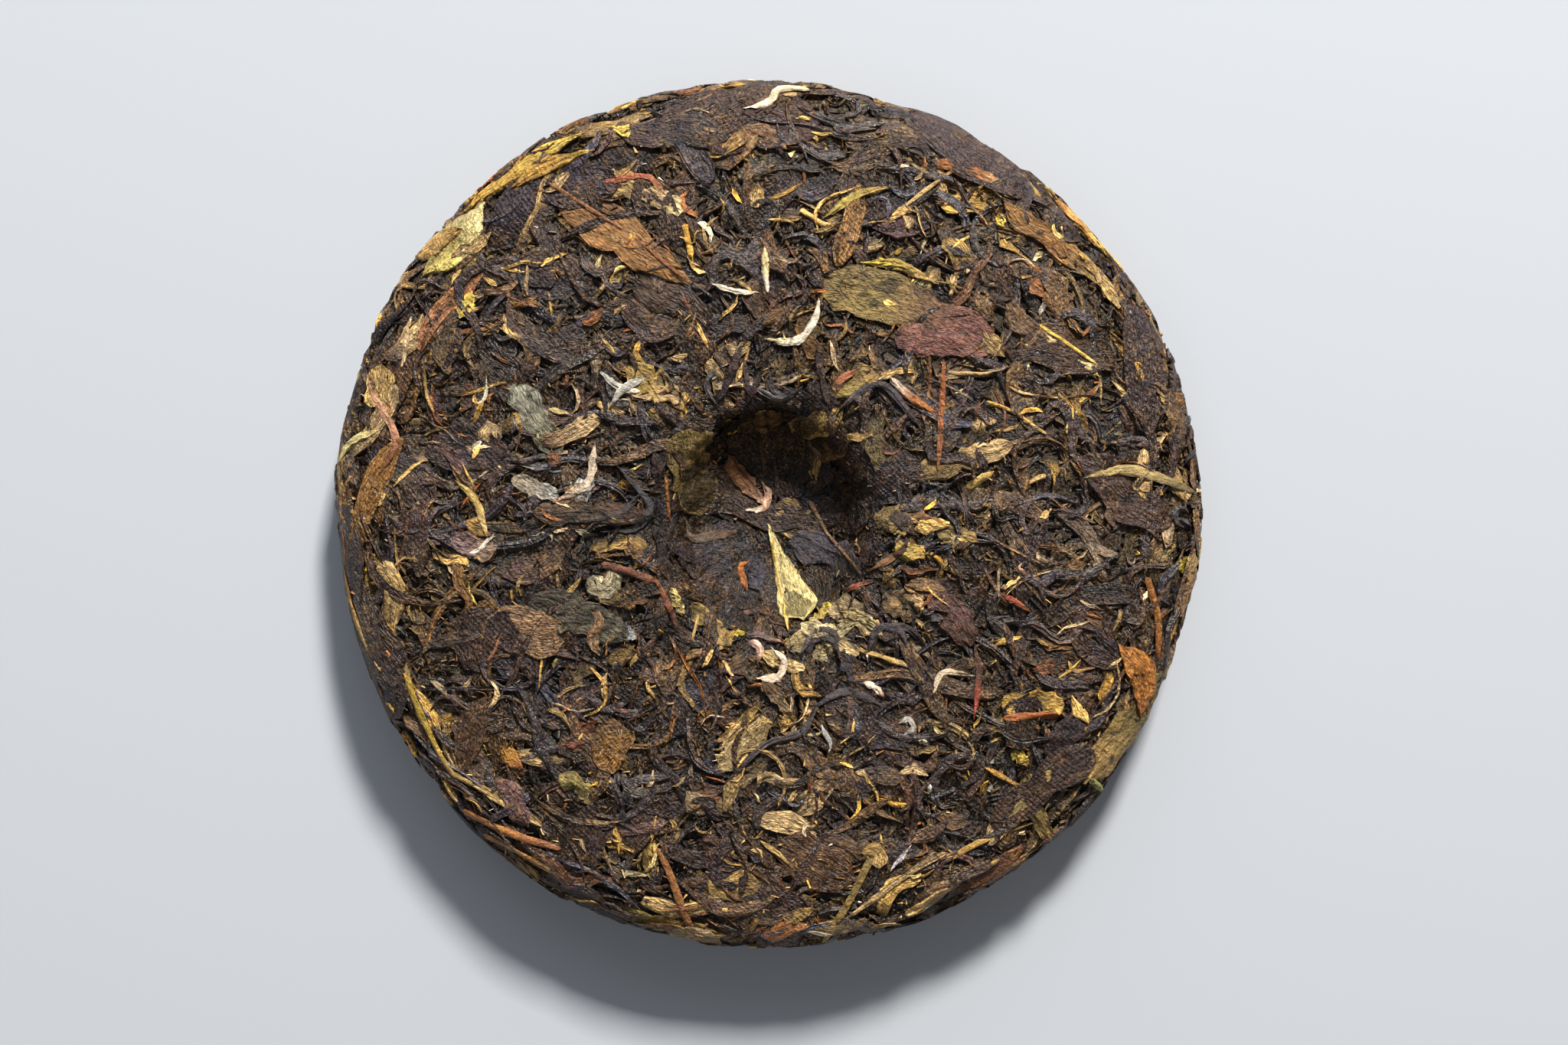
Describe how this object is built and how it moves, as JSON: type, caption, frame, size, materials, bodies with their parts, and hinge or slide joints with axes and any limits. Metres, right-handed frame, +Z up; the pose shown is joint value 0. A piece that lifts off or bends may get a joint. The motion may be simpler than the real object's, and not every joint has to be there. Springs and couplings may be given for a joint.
{
  "type": "pressed tea cake",
  "caption": "Round disc of whole tea leaves, steamed and pressed, with a domed face, a rounded rim and a hollow in the middle of its back.",
  "frame": {"origin": "middle of the flat foot, on the surface that the cake lies on", "axes": "+Z up out of the hollow side, +Y the way the hollow is longest"},
  "size_m": [0.2008, 0.2008, 0.0245],
  "materials": {
    "pressed_leaves": "matte"
  },
  "bodies": {
    "root": {"tea_cake": "pressed_leaves"}
  },
  "joints": []
}
